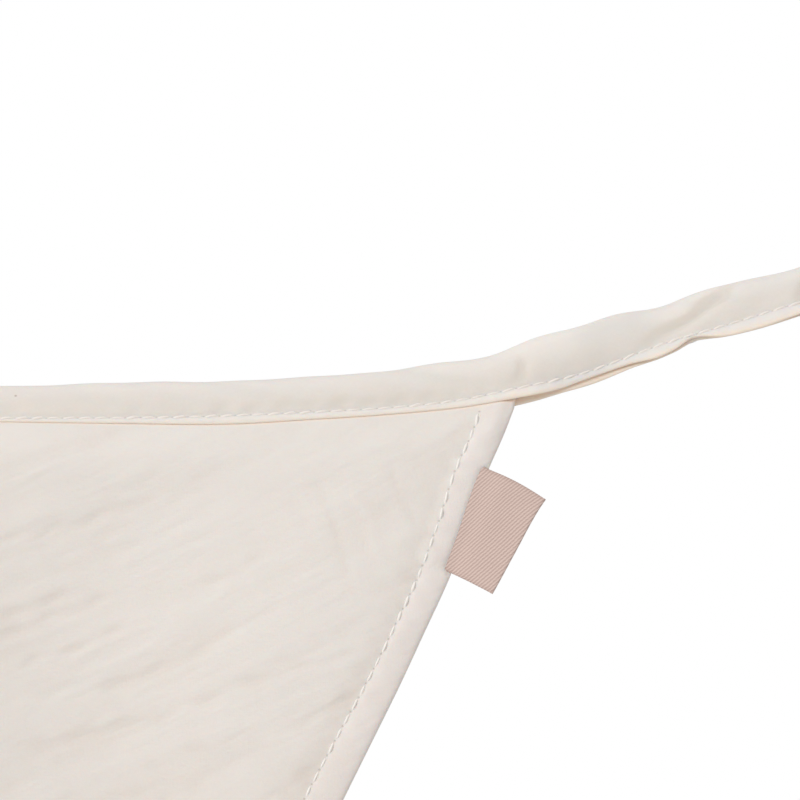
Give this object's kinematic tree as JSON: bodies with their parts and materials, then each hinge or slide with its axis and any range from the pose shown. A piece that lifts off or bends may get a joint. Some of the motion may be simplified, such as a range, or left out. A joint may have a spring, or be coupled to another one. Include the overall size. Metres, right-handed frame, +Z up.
{
  "type": "fabric bunting",
  "caption": "Hanging fabric bunting: soft cotton pennants, bagged out and edge-stitched, sewn into one folded tape that sags between its two ties.",
  "frame": {"origin": "end of the left tie, where the bunting is tied up", "axes": "+X along the bunting towards its right tie, +Z up, the front faces -Y"},
  "size_m": [1.0933, 0.0181, 0.5254],
  "materials": {
    "tape_cloth": "matt undyed cotton, folded and stitched",
    "pennant_cloth": "matt crinkled double cotton gauze",
    "label_ribbon": "fine twill-woven ribbon, plain"
  },
  "bodies": {
    "root": {"tape": "tape_cloth", "pennant_left": "pennant_cloth", "pennant_middle": "pennant_cloth", "pennant_right": "pennant_cloth", "label": "label_ribbon"}
  },
  "joints": []
}
